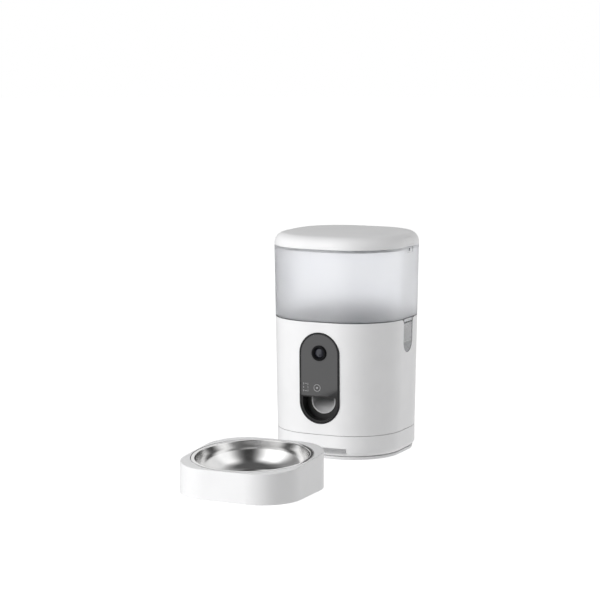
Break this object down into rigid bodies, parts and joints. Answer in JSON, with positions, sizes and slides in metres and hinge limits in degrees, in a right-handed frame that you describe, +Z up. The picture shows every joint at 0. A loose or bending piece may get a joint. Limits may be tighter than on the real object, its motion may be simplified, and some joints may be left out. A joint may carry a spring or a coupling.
{
  "type": "automatic pet feeder",
  "caption": "Automatic pet feeder: a lidded frosted hopper over a white housing whose geared paddle wheel drops food down a chute into a steel bowl on a docking tray.",
  "frame": {"origin": "on the floor, below the middle of the body", "axes": "+Z up, -Y towards the pet, where the outlet, the tray and the bowl are, +X to the right seen from the front"},
  "size_m": [0.1938, 0.4852, 0.313],
  "materials": {
    "white_housing": "satin moulded",
    "white_lid": "satin moulded",
    "lid_inner": "satin moulded",
    "white_tray": "satin moulded",
    "grey_well": "fine matt",
    "grey_base": "fine matt",
    "grey_rubber": "matt",
    "pale_seal": "matt silicone",
    "frosted_clear": "frosted see-through",
    "black_gloss": "gloss",
    "smoked_panel": "smoked gloss",
    "black_recess": "satin",
    "grey_chute": "satin",
    "camera_black": "gloss",
    "camera_glass": "coated",
    "polished_steel": "polished",
    "zinc_screw": "zinc plated",
    "circuit_board": "solder mask",
    "white_cup": "satin moulded",
    "inner_white": "satin moulded",
    "rotor_grey": "satin moulded",
    "gear_nylon": "bare nylon",
    "plate_grey": "satin moulded",
    "motor_case": "satin",
    "black_moulding": "fine matt"
  },
  "bodies": {
    "body": {"main_housing": "white_housing", "base_cover": "white_housing", "base_plate": "grey_base", "rubber_feet": "grey_rubber", "base_screws": "zinc_screw", "front_bezel": "black_gloss", "front_panel": "smoked_panel", "camera_barrel": "camera_black", "camera_lens": "camera_glass", "touch_board": "circuit_board", "camera_module": "circuit_board", "electronics_cover": "inner_white", "outlet_duct": "black_recess", "outlet_chute": "grey_chute", "mechanism_deck": "inner_white", "deck_screws": "zinc_screw", "gear_plate": "plate_grey", "plate_screws": "zinc_screw", "gearmotor": "motor_case", "main_board": "circuit_board", "speaker": "black_moulding", "power_inlet": "black_moulding"},
    "hopper": {"hopper": "frosted_clear"},
    "lid": {"lid_shell": "white_lid", "lid_liner": "lid_inner", "lid_seal": "pale_seal"},
    "latch_right": {"lid_latch_right": "white_lid"},
    "latch_left": {"lid_latch_left": "white_lid"},
    "cup": {"portion_cup": "white_cup"},
    "rotor": {"rotor": "rotor_grey"},
    "rotor_gear": {"rotor_gear": "gear_nylon"},
    "motor_gear": {"motor_gear": "gear_nylon"},
    "tray": {"tray_shell": "white_tray", "well_liner": "grey_well", "tray_base": "white_tray", "tray_feet": "grey_rubber", "dock_tongue": "white_tray"},
    "bowl": {"steel_bowl": "polished_steel"}
  },
  "joints": [
    {"name": "hopper_lift", "type": "slide", "parent": "body", "child": "hopper", "axis": [0, 0, 1], "range_m": [0, 0.1343]},
    {"name": "lid_lift", "type": "slide", "parent": "hopper", "child": "lid", "axis": [0, 0, 1], "range_m": [0, 0.0572]},
    {"name": "latch_press_right", "type": "slide", "parent": "lid", "child": "latch_right", "axis": [-1, 0, 0], "range_m": [0, 0.0025], "stiffness_N_per_m": 400},
    {"name": "latch_press_left", "type": "slide", "parent": "lid", "child": "latch_left", "axis": [1, 0, 0], "range_m": [0, 0.0025], "stiffness_N_per_m": 400},
    {"name": "cup_lift", "type": "slide", "parent": "body", "child": "cup", "axis": [0, 0, 1], "range_m": [0, 0.1071]},
    {"name": "rotor_spin", "type": "hinge", "parent": "cup", "child": "rotor", "pos_m": [0, 0, 0.12], "axis": [0, 0, 1], "continuous": true},
    {"name": "rotor_gear_spin", "type": "hinge", "parent": "body", "child": "rotor_gear", "pos_m": [0, 0, 0.105], "axis": [0, 0, 1], "continuous": true},
    {"name": "motor_gear_spin", "type": "hinge", "parent": "body", "child": "motor_gear", "pos_m": [0, 0.0304, 0.105], "axis": [0, 0, 1], "continuous": true},
    {"name": "tray_slide", "type": "slide", "parent": "body", "child": "tray", "axis": [0, -1, 0], "range_m": [-0.1263, 0]},
    {"name": "bowl_lift", "type": "slide", "parent": "tray", "child": "bowl", "axis": [0, -0.068, 0.9977], "range_m": [0, 0.05]}
  ],
  "couplings": [
    {"joint": "cup_lift", "follows": "hopper_lift", "ratio": 0.797},
    {"joint": "rotor_gear_spin", "follows": "rotor_spin", "ratio": 1},
    {"joint": "motor_gear_spin", "follows": "rotor_spin", "ratio": -0.66667}
  ]
}
